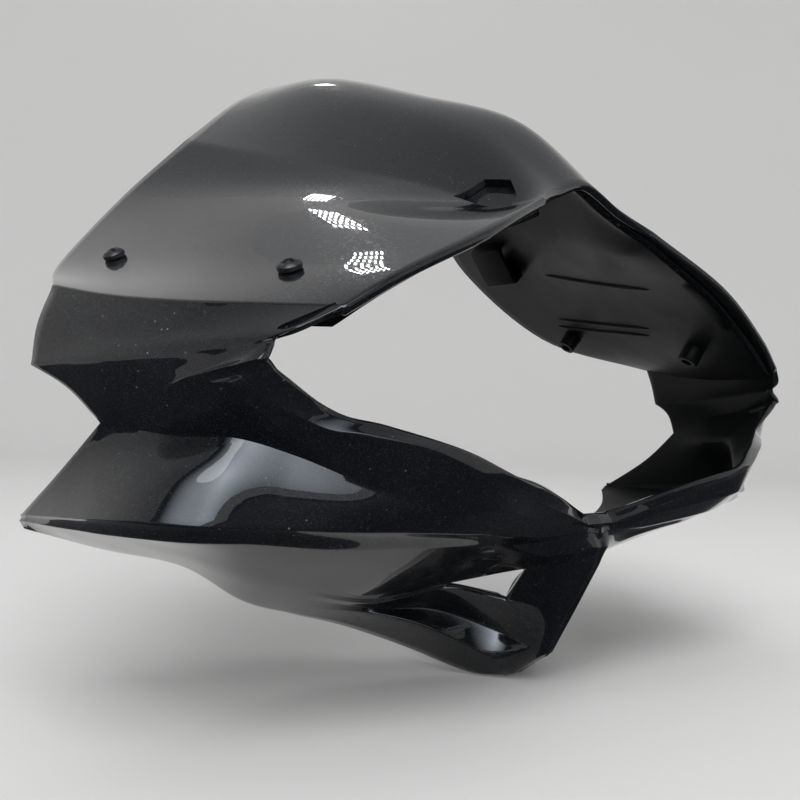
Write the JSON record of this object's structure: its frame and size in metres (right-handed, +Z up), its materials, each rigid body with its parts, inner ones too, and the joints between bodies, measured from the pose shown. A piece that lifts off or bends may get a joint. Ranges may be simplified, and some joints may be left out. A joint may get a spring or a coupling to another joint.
{
  "type": "headlight cowl",
  "caption": "Pearl black motorbike headlight cowl with a broad pointed visor over an open lamp opening, side lobes with swept tails and a narrow keel.",
  "frame": {"origin": "midway between the two upper mounting holes, on the rear faces of their boxes and on the centre plane", "axes": "+X to one side across the cowl, +Y back from the lamp opening, +Z up"},
  "size_m": [0.36, 0.2321, 0.2887],
  "materials": {
    "shell_plastic": "pearl gloss",
    "visor_plastic": "pearl gloss",
    "screw_steel": "black oxide"
  },
  "bodies": {
    "root": {"cowl_shell": "shell_plastic", "visor_panel": "visor_plastic", "screw_front_left": "screw_steel", "screw_front_right": "screw_steel", "screw_rear_left": "screw_steel", "screw_rear_right": "screw_steel"}
  },
  "joints": []
}
